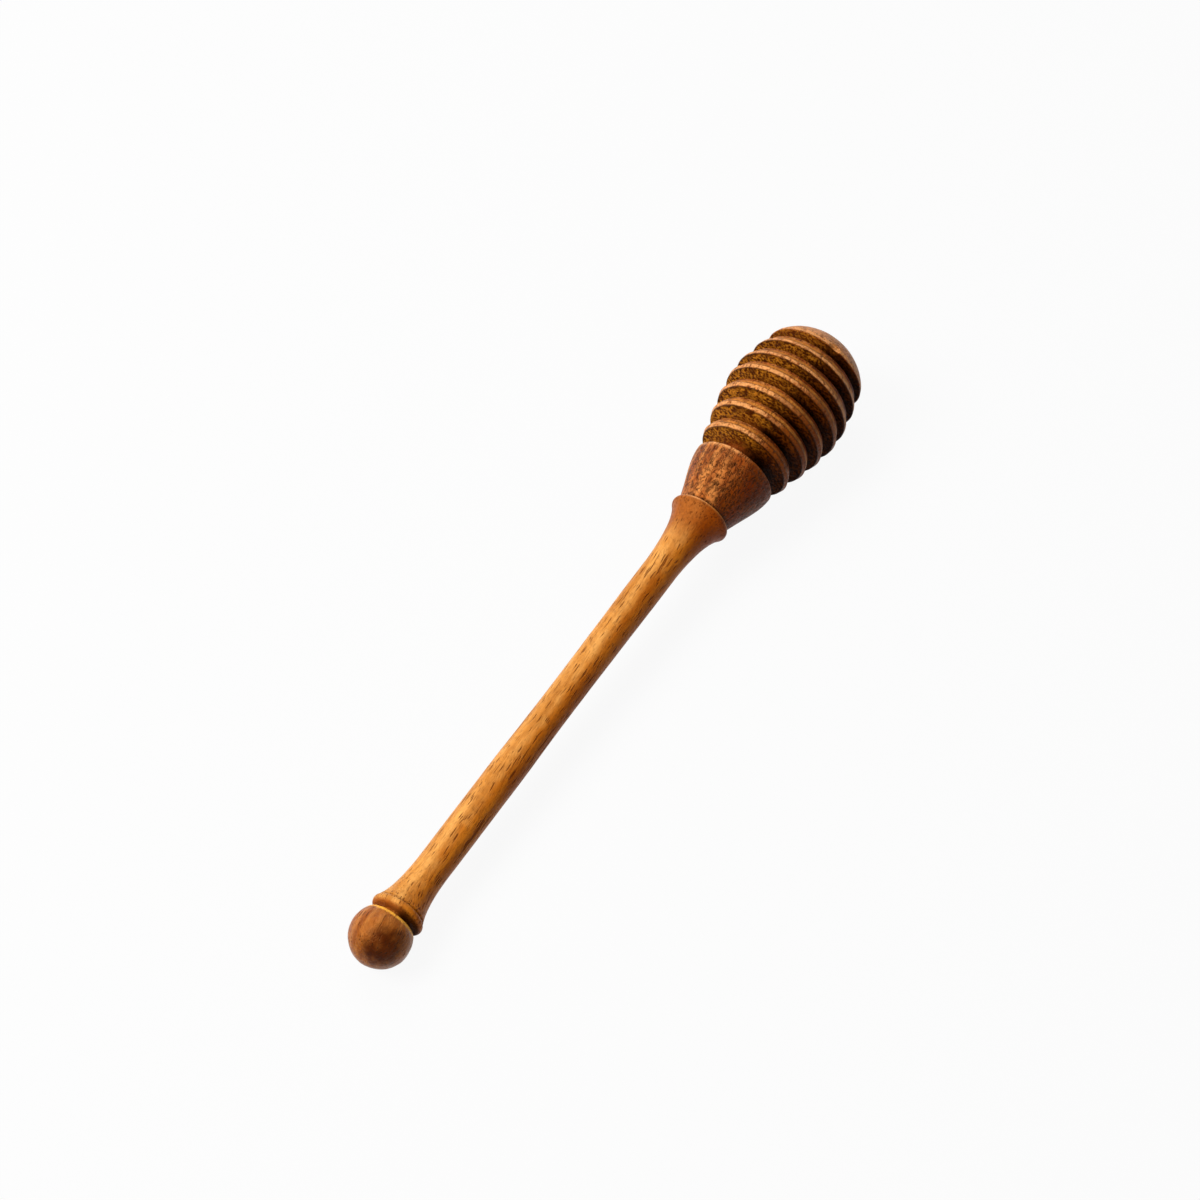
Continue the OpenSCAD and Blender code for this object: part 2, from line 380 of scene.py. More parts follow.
        # Painted shade: the side turned away from the key light is darkened, and its end grain most
        painted_shade = self._painted_shade(tree, place, marks[Mark.UNSHADED])
        end = self._over(tree, self._share(tree, painted_shade, 0.55), end, linear(self.line))
        colour = self._over(tree, self._share(tree, marks[Mark.END_GRAIN], 0.95), colour, end)
        # The painted shade multiplies the whole colour on that side
        colour = add_node(tree, "ShaderNodeMix", {"data_type": "RGBA", "blend_type": "MULTIPLY"},
                          {0: painted_shade, 6: colour, 7: (*self.painted_shade, 1.0)}).outputs[2]
        # Tool bands, with a copy in painted shade on the side turned from the key light
        band = self._over(tree, painted_shade, linear(self.band), linear(self.edge_and_band_in_shade))
        band = self._over(tree, self._share(tree, speck, 0.35), band, linear(self.warm))
        band = self._over(tree, self._share(tree, blotch, 0.5), band, linear(self.end_dark))
        band = self._over(tree, self._share(tree, self._tool_lines(tree, place, 0.22), 0.6),
                          band, linear(self.pore))
        colour = self._over(tree, marks[Mark.BAND], colour, band)
        # Painted highlight on worn edges and crests, in patches, with its copy in painted shade
        edge = self._over(tree, painted_shade, linear(self.edge), linear(self.edge_and_band_in_shade))
        worn_highlight = add_node(tree, "ShaderNodeMath", {"operation": "MULTIPLY"}, {0: marks[Mark.EDGE], 1: wear})
        colour = self._over(tree, worn_highlight.outputs[0], colour, edge)
        # Painted shade in recesses: browner on the side towards the key light, near black on the side turned from
        # it
        hollow = self._over(tree, painted_shade, linear(self.stain), linear(self.line))
        colour = self._over(tree, self._share(tree, marks[Mark.SHADED_RECESS], 0.85), colour, hollow)
        return self._over(tree, self._share(tree, marks[Mark.LINE], 0.85), colour, linear(self.line))

    def _painted_shade(self, tree: bpy.types.NodeTree, place: bpy.types.NodeSocket,
               unshaded: bpy.types.NodeSocket) -> bpy.types.NodeSocket:
        """Share of painted shade: 1 on the side turned away from the key light, 0 on the other and where the mesh
        marks it unshaded.
        """
        across = add_node(tree, "ShaderNodeVectorMath", {"operation": "MULTIPLY"},
                          {0: place, 1: (1.0 if self.painted_shade_side[0] else 0.0, 1.0, 1.0)})
        out = add_node(tree, "ShaderNodeVectorMath", {"operation": "NORMALIZE"}, {0: across.outputs[0]})
        side = add_node(tree, "ShaderNodeVectorMath", {"operation": "DOT_PRODUCT"},
                        {0: out.outputs[0], 1: self.painted_shade_side})
        wander = add_node(tree, "ShaderNodeTexNoise", {}, {"Vector": place, "Scale": 0.3, "Detail": 3.0})
        total = add_node(tree, "ShaderNodeMath", {"operation": "MULTIPLY_ADD"},
                         {0: wander.outputs["Fac"], 1: 0.7, 2: side.outputs["Value"]})
        low, high = self.painted_shade_border
        share = add_node(tree, "ShaderNodeMapRange", {"interpolation_type": "SMOOTHSTEP"},
                         {"Value": total.outputs[0], "From Min": low + 0.35, "From Max": high + 0.35})
        rest = add_node(tree, "ShaderNodeMath", {"operation": "SUBTRACT"}, {0: 1.0, 1: unshaded})
        return add_node(tree, "ShaderNodeMath", {"operation": "MULTIPLY"},
                        {0: share.outputs[0], 1: rest.outputs[0]}).outputs[0]

    @staticmethod
    def _mark(tree: bpy.types.NodeTree, mark: Mark) -> bpy.types.NodeSocket:
        """A mark that the mesh carries."""
        return add_node(tree, "ShaderNodeAttribute", {"attribute_name": mark.value}).outputs["Fac"]

    @staticmethod
    def _patches(tree: bpy.types.NodeTree, place: bpy.types.NodeSocket, scale: float,
                 low: float, high: float) -> bpy.types.NodeSocket:
        """Soft patches of a size of one over the scale, from 0 to 1 between two noise levels."""
        noise = add_node(tree, "ShaderNodeTexNoise", {},
                         {"Vector": place, "Scale": scale, "Detail": 3.0, "Roughness": 0.6})
        return add_node(tree, "ShaderNodeMapRange", {},
                        {"Value": noise.outputs["Fac"], "From Min": low, "From Max": high}).outputs[0]

    @staticmethod
    def _tool_lines(tree: bpy.types.NodeTree, place: bpy.types.NodeSocket, gap: float) -> bpy.types.NodeSocket:
        """Fine lines round the axis that the tool left, from 0 to 1, about a gap apart."""
        parts = add_node(tree, "ShaderNodeSeparateXYZ", {}, {0: place})
        across = add_node(tree, "ShaderNodeVectorMath", {"operation": "MULTIPLY"}, {0: place, 1: (0.0, 1.0, 1.0)})
        radius = add_node(tree, "ShaderNodeVectorMath", {"operation": "LENGTH"}, {0: across.outputs[0]})
        along = add_node(tree, "ShaderNodeMath", {"operation": "ADD"},
                         {0: parts.outputs[0], 1: radius.outputs["Value"]})
        lines = add_node(tree, "ShaderNodeTexNoise", {"noise_dimensions": "1D"},
                         {"W": along.outputs[0], "Scale": 1 / gap, "Detail": 3.0, "Roughness": 0.7})
        return lines.outputs["Fac"]

    @staticmethod
    def _share(tree: bpy.types.NodeTree, amount: bpy.types.NodeSocket, share: float) -> bpy.types.NodeSocket:
        """An amount times a share."""
        return add_node(tree, "ShaderNodeMath", {"operation": "MULTIPLY"}, {0: amount, 1: share}).outputs[0]

    @staticmethod
    def _over(tree: bpy.types.NodeTree, amount: Any, below: Any, above: Any) -> bpy.types.NodeSocket:
        """One colour laid over another by an amount."""
        return add_node(tree, "ShaderNodeMix", {"data_type": "RGBA"}, {0: amount, 6: below, 7: above}).outputs[2]

    def _bump(self, tree: bpy.types.NodeTree, place: bpy.types.NodeSocket, fibre: bpy.types.NodeSocket,
              pores: bpy.types.NodeSocket, hair: bpy.types.NodeSocket,
              wrinkles: bpy.types.NodeSocket) -> bpy.types.NodeSocket:
        """Relief of sunken pores and wrinkles, raised fibres and the fine lines that the tool left."""
        long = add_node(tree, "ShaderNodeVectorMath", {"operation": "MULTIPLY"},
                        {0: fibre, 1: (0.25, 3.2, 3.2)})
        fibres = add_node(tree, "ShaderNodeTexNoise", {},
                          {"Vector": long.outputs[0], "Scale": 1.0, "Detail": 3.0})
        height = add_node(tree, "ShaderNodeMath", {"operation": "MULTIPLY_ADD"},
                          {0: self._tool_lines(tree, place, self.tool_gap), 1: 0.35, 2: fibres.outputs["Fac"]})
        for hollow, depth in ((pores, 0.9), (hair, 0.3), (wrinkles, self.wrinkle_depth * 2)):
            height = add_node(tree, "ShaderNodeMath", {"operation": "MULTIPLY_ADD"},
                              {0: hollow, 1: -depth, 2: height.outputs[0]})
        bump = add_node(tree, "ShaderNodeBump", {},
                        {"Height": height.outputs[0], "Strength": 0.6, "Distance": self.relief * MM})
        return bump.outputs[0]


def arc(centre: Point, radius: float, start: float, end: float, steps: int = 8) -> list[Point]:
    """Points of a round stretch of an outline.

    Args:
        centre: Centre of the arc, as radius and station.
        radius: Radius of the arc.
        start: First angle in degrees, with 0 pointing away from the turning axis.
        end: Last angle in degrees.
        steps: Number of segments.

    Returns:
        The points, both ends included.
    """
    angles = (math.radians(start + (end - start) * i / steps) for i in range(steps + 1))
    return [(centre[0] + radius * math.cos(a), centre[1] + radius * math.sin(a)) for a in angles]


def curve(a: Point, b: Point, c: Point, d: Point, steps: int = 24) -> list[Point]:
    """Points of a cubic curve from a to d, steered by b and c, its first point left out."""
    shares = (i / steps for i in range(1, steps + 1))
    return [tuple((1 - t) ** 3 * p + 3 * (1 - t) ** 2 * t * q + 3 * (1 - t) * t * t * r + t ** 3 * s
                  for p, q, r, s in zip(a, b, c, d)) for t in shares]


def swell(a: Point, b: Point, pull: float = 0.4) -> list[Point]:
    """Points of a slow swell from a to b, which leaves both along the axis."""
    reach = (b[1] - a[1]) * pull
    return curve(a, (a[0], a[1] + reach), (b[0], b[1] - reach), b, 48)


def refined(outline: Sequence[Point], gap: float) -> list[Point]:
    """The outline with points added, so that none is further than a gap from the next.

    Args:
        outline: Points in mm.
        gap: Largest distance between two points.

    Returns:
        The finer outline.
    """
    points: list[Point] = [outline[0]]
    for a, b in zip(outline, outline[1:]):
        count = max(1, math.ceil(math.dist(a, b) / gap))
        points += [(a[0] + (b[0] - a[0]) * i / count, a[1] + (b[1] - a[1]) * i / count)
                   for i in range(1, count + 1)]
    return points


def near(station: np.ndarray, radius: np.ndarray, spots: Sequence[Point], width: float) -> np.ndarray:
    """How near each vertex lies to the nearest of some spots on the outline.

    Args:
        station: Stations of the vertices.
        radius: Radii of the vertices.
        spots: Spots as radius and station.
        width: Distance at which the share has fallen to a third.

    Returns:
        Shares from 0 to 1.
    """
    share = np.zeros_like(station)
    for spot_r, spot_s in spots:
        away = np.hypot(radius - spot_r, station - spot_s)
        share = np.maximum(share, np.exp(-((away / width) ** 2)))
    return share


@dataclass
class TurnedPiece:
    """One piece of the dipper, turned about the axis. Sizes are in mm."""

    name: str = ""
    node: str = ""
    slot: str = ""
    sides: int = 160
    gap: float = 0.5
    # Depth of the unevenness that sanding by hand leaves
    uneven: float = 0.05
    uneven_gap: float = 7.0

    def outline(self) -> list[Point]:
        """Outline from one end of the axis to the other."""
        raise NotImplementedError

    def marks(self, station: np.ndarray, radius: np.ndarray) -> dict[Mark, np.ndarray]:
        """Marks of the piece at each vertex, by station and radius. Those left out are 0."""
        return {}

    def end_share(self, station: np.ndarray) -> np.ndarray:
        """How plainly end grain shows at each vertex, from 0 to 1."""
        return np.ones_like(station)

    def is_skin(self, station: np.ndarray, radius: np.ndarray) -> np.ndarray:
        """True where the surface shows, and isn't inside a glued joint."""
        raise NotImplementedError

    def shape_further(self, piece: bpy.types.Object) -> None:
        """Shapes what isn't round about the axis, before the piece is laid on the table."""

    def build(self, lie: Lie, finish: Wood) -> bpy.types.Object:
        """Turns, marks, lays and dresses the piece.

        Args:
            lie: How the turning axis lies.
            finish: The wood.

        Returns:
            The finished object, which rides on the root body and stands for its node.
        """
        piece = self._turn()
        self._sand(piece)
        self.shape_further(piece)
        self._mark(piece)
        piece.matrix_world = lie.matrix()
        bpy.ops.object.transform_apply(location=True, rotation=True, scale=True)
        bpy.ops.object.shade_smooth()
        piece.data.materials.append(finish.build(lie))
        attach(piece, "root")
        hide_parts(self.node)
        log.info("%s: %d faces, finished in %s", self.name, len(piece.data.polygons), finish.name)
        return piece

    def _turn(self) -> bpy.types.Object:
        """Draws the outline point by point and spins it about the X axis."""
        bpy.ops.object.select_all(action="DESELECT")
        bpy.ops.mesh.primitive_plane_add(size=MM, location=(0.0, 0.0, 0.0))
        piece = bpy.context.active_object
        piece.name = piece.data.name = self.name
        bpy.ops.object.mode_set(mode="EDIT")
        bpy.ops.mesh.select_all(action="SELECT")
        bpy.ops.mesh.merge(type="CENTER")
        points = [Vector((s * MM, r * MM, 0.0)) for r, s in refined(self.outline(), self.gap)]
        bpy.ops.transform.translate(value=points[0])
        for here, there in zip(points, points[1:]):
            bpy.ops.mesh.extrude_region_move(TRANSFORM_OT_translate={"value": there - here})
        bpy.ops.mesh.select_all(action="SELECT")
        bpy.ops.mesh.spin(steps=self.sides, angle=2 * math.pi, center=(0.0, 0.0, 0.0), axis=(1.0, 0.0, 0.0))
        bpy.ops.mesh.select_all(action="SELECT")
        bpy.ops.mesh.remove_doubles(threshold=0.001 * MM)
        bpy.ops.mesh.normals_make_consistent(inside=False)
        bpy.ops.object.mode_set(mode="OBJECT")
        return piece

    def _stations(self, piece: bpy.types.Object) -> tuple[np.ndarray, np.ndarray]:
        """Station and radius of each vertex, in mm."""
        places = np.empty(len(piece.data.vertices) * 3, np.float32)
        piece.data.vertices.foreach_get("co", places)
        places = places.reshape(-1, 3) / MM
        return places[:, 0], np.hypot(places[:, 1], places[:, 2])

    def _sand(self, piece: bpy.types.Object) -> None:
        """Makes the skin slightly uneven, as hand sanding does. The joints stay true."""
        station, radius = self._stations(piece)
        group = piece.vertex_groups.new(name="skin")
        group.add(np.flatnonzero(self.is_skin(station, radius)).tolist(), 1.0, "REPLACE")
        texture = bpy.data.textures.new(self.name + "_unevenness", "CLOUDS")
        texture.noise_scale = self.uneven_gap * MM
        texture.noise_depth = 2
        waves = piece.modifiers.new("unevenness", "DISPLACE")
        waves.texture = texture
        waves.texture_coords = "LOCAL"
        waves.vertex_group = group.name
        waves.mid_level = 0.5
        waves.strength = self.uneven * 2 * MM
        bpy.ops.object.modifier_apply(modifier=waves.name)

    def _mark(self, piece: bpy.types.Object) -> None:
        """Stores the marks that the finish reads."""
        station, radius = self._stations(piece)
        normals = np.empty(len(piece.data.vertices) * 3, np.float32)
        piece.data.vertices.foreach_get("normal", normals)
        lean = np.abs(normals.reshape(-1, 3)[:, 0])
        values = {mark: np.zeros_like(station) for mark in Mark}
        values[Mark.END_GRAIN] = np.clip((lean - 0.55) / 0.35, 0.0, 1.0) * self.end_share(station)
        values |= self.marks(station, radius)
        for mark, value in values.items():
            layer = piece.data.attributes.new(mark.value, "FLOAT", "POINT")
            layer.data.foreach_set("value", value.astype(np.float32))


@dataclass
class BallKnob(TurnedPiece):
    """The ball at the handle's end, with a flat seat and a blind hole for the tenon."""

    name: str = "turned_ball"
    node: str = "ball_knob"
    slot: str = "knob_wood"
    sides: int = 144
    gap: float = 0.35
    uneven: float = 0.11
    uneven_gap: float = 3.0
    diameter: float = 13.2
    seat: float = 3.6
    lip: float = 0.12
    hole_r: float = 2.05
    hole_end: float = -3.0

    def outline(self) -> list[Point]:
        """From the ball's far end over the round to the seat, and down into the hole."""
        radius = self.diameter / 2
        lip_angle = math.degrees(math.asin((self.seat - self.lip) / radius))
        seat_r = math.sqrt(radius ** 2 - self.seat ** 2)
        return [*arc((0.0, 0.0), radius, -90.0, lip_angle, 64), (seat_r - self.lip * 0.6, self.seat),
                (self.hole_r, self.seat), (self.hole_r, self.hole_end), (0.0, self.hole_end)]

    def marks(self, station: np.ndarray, radius: np.ndarray) -> dict[Mark, np.ndarray]:
        """Painted highlight on the worn lip of the seat, which the painted shade leaves off."""
        lip_r = math.sqrt((self.diameter / 2) ** 2 - self.seat ** 2)
        lip = np.clip(near(station, radius, [(lip_r + 0.03, self.seat - 0.1)], 0.5) * 1.5, 0.0, 1.0)
        return {Mark.EDGE: lip * 3.0, Mark.UNSHADED: lip}

    def end_share(self, station: np.ndarray) -> np.ndarray:
        """The ball is rubbed smooth, so that its end grain hardly shows."""
        return np.full_like(station, 0.35)

    def is_skin(self, station: np.ndarray, radius: np.ndarray) -> np.ndarray:
        """The round, up to the lip."""
        return np.hypot(station, radius) > self.diameter / 2 - 0.01


@dataclass
class Handle(TurnedPiece):
    """The slender handle, from the tenon in the ball to the tenon in the head."""

    name: str = "turned_handle"
    node: str = "handle"
    slot: str = "handle_wood"
    sides: int = 144
    gap: float = 0.5
    uneven: float = 0.04
    knob_seat: float = 3.6
    knob_tenon_r: float = 2.0
    knob_tenon_len: float = 6.0
    neck_r: float = 3.2
    neck_w: float = 1.3
    length: float = 115.2
    end_collar_r: float = 5.9
    end_collar_w: float = 2.2
    collar_line: float = 0.3
    grip_r: float = 3.7
    grip_taper: float = 12.5
    grip_len: float = 23.0
    waist_r: float = 3.475
    waist_at: float = 61.0
    neck_collar_r: float = 6.75
    neck_collar_w: float = 1.7
    flare_len: float = 15.5
    flare_rise: float = 0.2
    head_tenon_r: float = 3.0
    head_tenon_len: float = 10.0
    collar_at: float = field(init=False)
    shoulder: float = field(init=False)

    def __post_init__(self) -> None:
        """Works out the two shoulders."""
        self.collar_at = self.knob_seat + self.neck_w
        self.shoulder = self.collar_at + self.length

    def outline(self) -> list[Point]:
        """Tenon, neck, end collar, taper, grip, waist, flare, neck collar and tenon."""
        collar_end = self.collar_at + self.end_collar_w
        root_r = self.grip_r + 0.75 * (self.end_collar_r - self.grip_r)
        grip_at = collar_end + self.grip_taper
        grip_end = (self.grip_r, grip_at + self.grip_len)
        waist = (self.waist_r, self.collar_at + self.waist_at)
        flare_at = self.shoulder - self.neck_collar_w - self.flare_len
        flare_start = (self.waist_r + self.flare_rise, flare_at + self.flare_len * 0.1)
        flare_end = (self.neck_collar_r - self.neck_collar_w / 4, self.shoulder - self.neck_collar_w)
        bead = self.end_collar_w / 2
        edge = self.neck_collar_w / 2
        tenon_end = self.knob_seat - self.knob_tenon_len
        return [
            (0.0, tenon_end), (self.knob_tenon_r, tenon_end), (self.knob_tenon_r, self.knob_seat),
            (self.neck_r, self.knob_seat), (self.neck_r, self.collar_at),
            *arc((self.end_collar_r - bead, self.collar_at + bead), bead, -90.0, 60.0, 18),
            (root_r + 0.1, collar_end - 0.12), (root_r - self.collar_line, collar_end),
            (root_r, collar_end + 0.2),
            *curve((root_r, collar_end + 0.2), (self.grip_r + 0.4, collar_end + self.grip_taper * 0.25),
                   (self.grip_r, collar_end + self.grip_taper * 0.58), (self.grip_r, grip_at)),
            grip_end, *swell(grip_end, waist), *swell(waist, flare_start),
            *curve(flare_start, (self.waist_r + 2 * self.flare_rise, flare_at + self.flare_len * 0.55),
                   (flare_end[0] - 1.5, flare_end[1] - 2.1), flare_end),
            *arc((self.neck_collar_r - edge, self.shoulder - edge), edge, -30.0, 90.0, 16),
            (self.head_tenon_r, self.shoulder), (self.head_tenon_r, self.shoulder + self.head_tenon_len),
            (0.0, self.shoulder + self.head_tenon_len),
        ]

    def is_skin(self, station: np.ndarray, radius: np.ndarray) -> np.ndarray:
        """From the end collar to the neck collar."""
        return (station > self.collar_at + 0.05) & (station < self.shoulder - 0.05)

    def marks(self, station: np.ndarray, radius: np.ndarray) -> dict[Mark, np.ndarray]:
        """Browner flare, painted highlight on the neck collar's edge, a dark line in the fine groove behind the
        end collar, and painted shade in the neck groove by the ball.
        """
        flare = np.clip((station - (self.shoulder - 14.0)) / 9.0, 0.0, 1.0) ** 1.5
        line_at = self.collar_at + self.end_collar_w
        return {
            Mark.STAIN: flare,
            # Painted highlight on the neck collar's edge
            Mark.EDGE: 3.0 * near(station, radius, [(self.neck_collar_r - 0.35, self.shoulder - 0.1)], 0.4),
            Mark.LINE: 0.6 * near(station, radius, [(self.end_collar_r - 0.75, line_at)], 0.25),
            # Painted shade in the neck groove by the ball
            Mark.SHADED_RECESS: np.clip((self.collar_at + 0.8 - station) / 0.6, 0.0, 1.0),
        }

    def end_share(self, station: np.ndarray) -> np.ndarray:
        """Both collars are smooth and keep most of the side's colour."""
        return np.full_like(station, 0.3)


@dataclass
class DipperHead(TurnedPiece):
    """The head: a cup, thin rings with grooves between them, and an end cap."""

    name: str = "turned_head"
    node: str = "dipper_head"
    slot: str = "head_wood"
    sides: int = 200
    gap: float = 0.45
    uneven: float = 0.06
    seat: float = 120.1
    cup_base_r: float = 5.75
    cup_len: float = 13.0
    cup_lip_r: float = 9.0
    belly_r: float = 13.7
    belly_at: float = 20.5
    taper: float = 0.275
    blend: float = 1.5
    ring_count: int = 6
    first_groove_w: float = 3.6
    ring_pitch: float = 4.75
    ring_w: float = 1.2
    ring_back_w: float = 1.0
    ring_step: float = 0.2
    ring_back_drop: float = 0.5
    # The far side of a ring is cut on a slant before it drops into the groove
    ring_slant_w: float = 0.8
    ring_slant_drop: float = 0.5
    ring_root: float = 0.3
    groove_depth: float = 5.2
    rim_r: float = 0.3
    cap_len: float = 7.3
    dome_r: float = 13.5
    # How far each ring stands from its even place, as it was cut by eye
    ring_drift: tuple[float, ...] = (-0.15, 0.25, 0.1, 0.25, -0.15, 0.05, 0.0)
    hole_r: float = 3.05
    hole_len: float = 10.6
    # Angle about the axis of the small dent in the end cap's edge, from +Y towards +Z
    dent_angle: float = 115.5
    dent_depth: float = 0.5
    dent_r: float = 1.4

    @property
    def rim(self) -> float:
        """Station of the cup's rim."""
        return self.seat + self.cup_len

    @property
    def cap_at(self) -> float:
        """Station of the end cap's face in the last groove."""
        return self.ring_at(self.ring_count)

    def ring_at(self, k: int) -> float:
        """Station of the handle's face of ring k."""
        return self.rim + self.first_groove_w + k * self.ring_pitch + self.ring_drift[k]

    def outline_r(self, station: Any) -> Any:
        """Radius of the head's outline at a station: two tapers that blend at the belly."""
        run = station - (self.rim + self.belly_at)
        return self.belly_r + self.blend - np.sqrt(self.blend ** 2 + (self.taper * run) ** 2)

    def _ring(self, k: int) -> list[Point]:
        """Outline of ring k: up its flat face, over the crest and the lower band, and down."""
        face = self.ring_at(k)
        crest = face + self.ring_w
        back = crest + self.ring_back_w
        slant = back + self.ring_slant_w
        face_r, crest_r = float(self.outline_r(face)), float(self.outline_r(crest))
        back_r = float(self.outline_r(back)) - self.ring_back_drop
        fine = [
            *arc((face_r - self.rim_r, face + self.rim_r), self.rim_r, -90.0, 0.0, 5),
            (crest_r + 0.02, crest - 0.15), (crest_r - 0.05, crest),
            (crest_r - self.ring_step, crest + self.ring_step / 2),
            (back_r, back - self.rim_r),
            (back_r - self.ring_slant_drop, slant),
        ]
        return [
            (face_r - self.groove_depth, face), *refined(fine, 0.16),
            (float(self.outline_r(slant)) - self.groove_depth, slant + self.ring_root),
        ]

    def outline(self) -> list[Point]:
        """From the mortise out to the seat, up the cup, over the rings and round the end cap."""
        rim_r = float(self.outline_r(self.rim))
        cap_r = float(self.outline_r(self.cap_at))
        dome_at = self.cap_at + self.cap_len - self.dome_r
        edge_angle = math.degrees(math.asin((self.cap_at + self.ring_w - dome_at) / self.dome_r))
        cap_edge = [*arc((cap_r - self.rim_r, self.cap_at + self.rim_r), self.rim_r, -90.0, -10.0, 6),
                    *arc((0.0, dome_at), self.dome_r, edge_angle, edge_angle, 1)]
        base = (self.cup_base_r, self.seat)
        points: list[Point] = [
            (0.0, self.seat + self.hole_len), (self.hole_r, self.seat + self.hole_len), (self.hole_r, self.seat),
            base,
            *curve(base, (base[0] + (rim_r - base[0]) * 0.5, self.seat + self.cup_len * 0.45),
                   (rim_r - 0.1, self.rim - self.cup_lip_r * 0.42), (rim_r, self.rim - self.rim_r), 32),
            *arc((rim_r - self.rim_r, self.rim - self.rim_r), self.rim_r, 0.0, 90.0, 6),
            (rim_r - self.groove_depth, self.rim + self.ring_root),
        ]
        for k in range(self.ring_count):
            points += self._ring(k)
        points += [
            (cap_r - self.groove_depth, self.cap_at), *refined(cap_edge, 0.16),
            *arc((0.0, dome_at), self.dome_r, edge_angle, 90.0, 48),
        ]
        return points

    def is_skin(self, station: np.ndarray, radius: np.ndarray) -> np.ndarray:
        """Everything outside the seat and the mortise."""
        return (station > self.seat + 0.05) & (radius > self.hole_r + 0.1)

    def marks(self, station: np.ndarray, radius: np.ndarray) -> dict[Mark, np.ndarray]:
        """Crests lightened by painted highlight with a dark line at their front corner, tool bands behind them,
        and painted shade in the deep grooves.
        """
        rings = range(self.ring_count)
        faces = np.array([self.ring_at(k) for k in rings] + [self.cap_at])
        behind = station[:, None] - faces[None, :]
        depth = self.outline_r(station) - radius
        shallow = depth < 1.2
        crest = ((behind > 0.3) & (behind <= self.ring_w + 0.02)).any(axis=1)
        crest_end = self.ring_w + 0.05
        band = ((behind > crest_end) & (behind < crest_end + self.ring_back_w))[:, :-1].any(axis=1)
        rim_r = float(self.outline_r(self.rim))
        lip = near(station, radius, [(rim_r - 0.05, self.rim - 0.3)], 0.45)
        foot = near(station, radius, [(self.cup_base_r + 0.15, self.seat + 0.3)], 0.35)
        corners = [(float(self.outline_r(f)) - 0.05, f + 0.02) for f in faces[:-1]]
        steps = [(float(self.outline_r(f + self.ring_w)) - 0.15, f + self.ring_w + 0.05) for f in faces[:-1]]
        inside = (station > self.rim - 0.1) & (station < self.cap_at + 0.1)
        # The round end gets a painted highlight, and the painted side shade is left off it
        rubbed = np.where(station > self.cap_at + 0.3, 1.0, 0.0)
        past_cup = np.where(station > self.ring_at(1) - 0.5, 0.9, 0.2)
        near_tip = np.clip((station - self.ring_at(3)) / 6.0, 0.0, 0.9)
        # Painted shade on the end cap's face in the last groove
        cap_face = np.where(np.abs(station - self.cap_at) < 0.08, 0.45, 0.0)
        # Painted highlight on crests, the cup's rim and the round end, and painted shade deepening in the grooves
        return {
            Mark.EDGE: np.maximum.reduce([np.where(crest & shallow, 0.95, 0.0), lip, rubbed * 0.55]),
            Mark.UNSHADED: np.maximum.reduce([rubbed * 0.8, np.where(crest & shallow, near_tip, 0.0),
                                         np.where(band & shallow, past_cup, 0.0)]),
            Mark.BAND: np.where(band & shallow, 0.95, 0.0),
            Mark.LINE: near(station, radius, corners, 0.24) + 0.8 * near(station, radius, steps, 0.2) + 0.7 * foot,
            Mark.SHADED_RECESS: np.where(inside, np.maximum(np.clip((depth - 2.0) / 3.0, 0.0, 1.0), cap_face), 0.0),
        }

    def end_share(self, station: np.ndarray) -> np.ndarray:
        """Rough end grain on the rings' faces, and rubbed smooth on the round end."""
        return np.where(station > self.cap_at + 0.8, 0.15, 1.0)

    def shape_further(self, piece: bpy.types.Object) -> None:
        """Presses the small dent into the end cap's edge."""
        angle = math.radians(self.dent_angle)
        out = Vector((0.0, math.cos(angle), math.sin(angle)))
        edge_r = float(self.outline_r(self.cap_at))
        spot = (Vector((self.cap_at + 0.2, 0.0, 0.0)) + out * edge_r) * MM
        near = [(v.co - spot).length for v in piece.data.vertices]
        chosen = near.index(min(near))
        for element in (*piece.data.vertices, *piece.data.edges, *piece.data.polygons):
            element.select = False
        piece.data.vertices[chosen].select = True
        bpy.ops.object.mode_set(mode="EDIT")
        bpy.ops.transform.translate(
            value=(Vector((0.5, 0.0, 0.0)) - out) * self.dent_depth * MM,
            use_proportional_edit=True, proportional_edit_falloff="SPHERE",
            proportional_size=self.dent_r * MM)
        bpy.ops.object.mode_set(mode="OBJECT")


